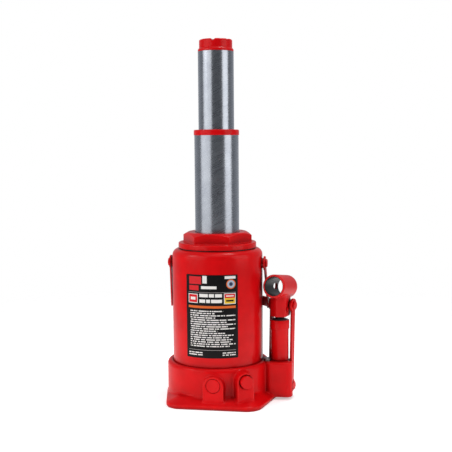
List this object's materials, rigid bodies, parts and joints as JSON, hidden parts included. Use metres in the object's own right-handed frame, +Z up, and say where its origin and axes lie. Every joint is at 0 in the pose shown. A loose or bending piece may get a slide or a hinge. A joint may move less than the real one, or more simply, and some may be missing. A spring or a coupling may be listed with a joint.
{
  "type": "hydraulic bottle jack",
  "caption": "Double-ram hydraulic bottle jack with telescopic rams extended, side pump with tubular handle socket, release valve and carry bail.",
  "frame": {"origin": "on the ram axis, in the plane of the foot", "axes": "+Z up along the rams; +X to the pump; -Y to the side with the label, the release valve and the handle mouth"},
  "size_m": [0.1711, 0.144, 0.456],
  "materials": {
    "cast_red": "gloss red enamel over a sand casting",
    "red_paint": "gloss red enamel over steel",
    "ground_steel": "cylindrically ground steel",
    "bare_steel": "turned steel",
    "blackened_steel": "blackened steel",
    "black_rubber": "nitrile rubber",
    "brass": "soft copper alloy",
    "label_film": "printed film"
  },
  "bodies": {
    "jack_body": {"base_casting": "cast_red", "cylinder_seat_washer": "brass", "tank_bottom_gasket": "black_rubber", "tank_top_gasket": "black_rubber", "reservoir_tank": "red_paint", "filler_plug": "black_rubber", "label": "label_film", "main_cylinder": "bare_steel", "outer_guide_sleeve": "bare_steel", "top_nut": "red_paint", "outer_ram_wiper": "black_rubber", "pump_cylinder_washer": "brass", "pump_cylinder": "red_paint", "pump_wiper": "black_rubber", "link_base_pins": "red_paint", "bail_rivets": "red_paint", "relief_plug": "red_paint", "relief_spring": "bare_steel", "relief_ball": "bare_steel", "suction_ball_cage": "bare_steel", "delivery_screw": "bare_steel", "oil_strainer": "brass"},
    "outer_ram": {"outer_ram_tube": "ground_steel", "outer_ram_piston": "bare_steel", "outer_ram_cup_seal": "black_rubber", "outer_ram_guide_ring": "brass", "outer_ram_collar": "red_paint", "inner_ram_wiper": "black_rubber", "inner_guide_sleeve": "bare_steel"},
    "inner_ram": {"inner_ram_rod": "ground_steel", "inner_ram_head": "bare_steel", "inner_ram_cup_seal": "black_rubber", "inner_ram_guide_ring": "brass", "saddle": "red_paint"},
    "plunger": {"pump_plunger": "blackened_steel", "plunger_seal": "black_rubber"},
    "link": {"link_plates": "red_paint", "link_top_pin": "red_paint", "link_top_clip": "blackened_steel", "link_spacers": "red_paint"},
    "socket": {"handle_socket": "cast_red", "plunger_pin": "red_paint"},
    "release_seal": {"release_ball": "bare_steel", "release_oring": "black_rubber"},
    "release_valve": {"release_screw": "red_paint"},
    "bail": {"carry_bail": "red_paint"},
    "suction_valve": {"suction_ball": "bare_steel"},
    "delivery_valve": {"delivery_ball": "bare_steel"}
  },
  "joints": [
    {"name": "outer_ram_slide", "type": "slide", "parent": "jack_body", "child": "outer_ram", "axis": [0, 0, -1], "range_m": [0, 0.122]},
    {"name": "inner_ram_slide", "type": "slide", "parent": "outer_ram", "child": "inner_ram", "axis": [0, 0, -1], "range_m": [0, 0.097]},
    {"name": "handle_tilt", "type": "hinge", "parent": "link", "child": "socket", "pos_m": [0.0831, 0.00911, 0.1182], "axis": [-0.9588, 0.284, 0], "range_deg": [0, 46]},
    {"name": "link_swing", "type": "hinge", "parent": "jack_body", "child": "link", "pos_m": [0.08154, 0.00383, 0.015], "axis": [-0.9588, 0.284, 0], "range_deg": [0, 0.5]},
    {"name": "plunger_slide", "type": "slide", "parent": "jack_body", "child": "plunger", "axis": [0, 0, 1], "range_m": [0, 0.0082]},
    {"name": "release_creep", "type": "slide", "parent": "jack_body", "child": "release_seal", "axis": [0.4695, -0.8829, 0], "range_m": [0, 0.00112]},
    {"name": "release_turn", "type": "hinge", "parent": "release_seal", "child": "release_valve", "pos_m": [0.0465, -0.0659, 0.0345], "axis": [0.4695, -0.8829, 0], "range_deg": [0, 270]},
    {"name": "bail_swing", "type": "hinge", "parent": "jack_body", "child": "bail", "pos_m": [0, 0, 0.1727], "axis": [1, 0, 0], "range_deg": [0, 100]},
    {"name": "suction_ball_lift", "type": "slide", "parent": "jack_body", "child": "suction_valve", "axis": [0, 0, 1], "range_m": [0, 0.001]},
    {"name": "delivery_ball_lift", "type": "slide", "parent": "jack_body", "child": "delivery_valve", "axis": [0, 0, 1], "range_m": [0, 0.001]}
  ],
  "couplings": [
    {"joint": "link_swing", "follows": "handle_tilt", "ratio": 0.0107},
    {"joint": "plunger_slide", "follows": "handle_tilt", "m_per_rad": 0.010138},
    {"joint": "release_turn", "follows": "release_creep", "rad_per_m": 4188.7}
  ]
}
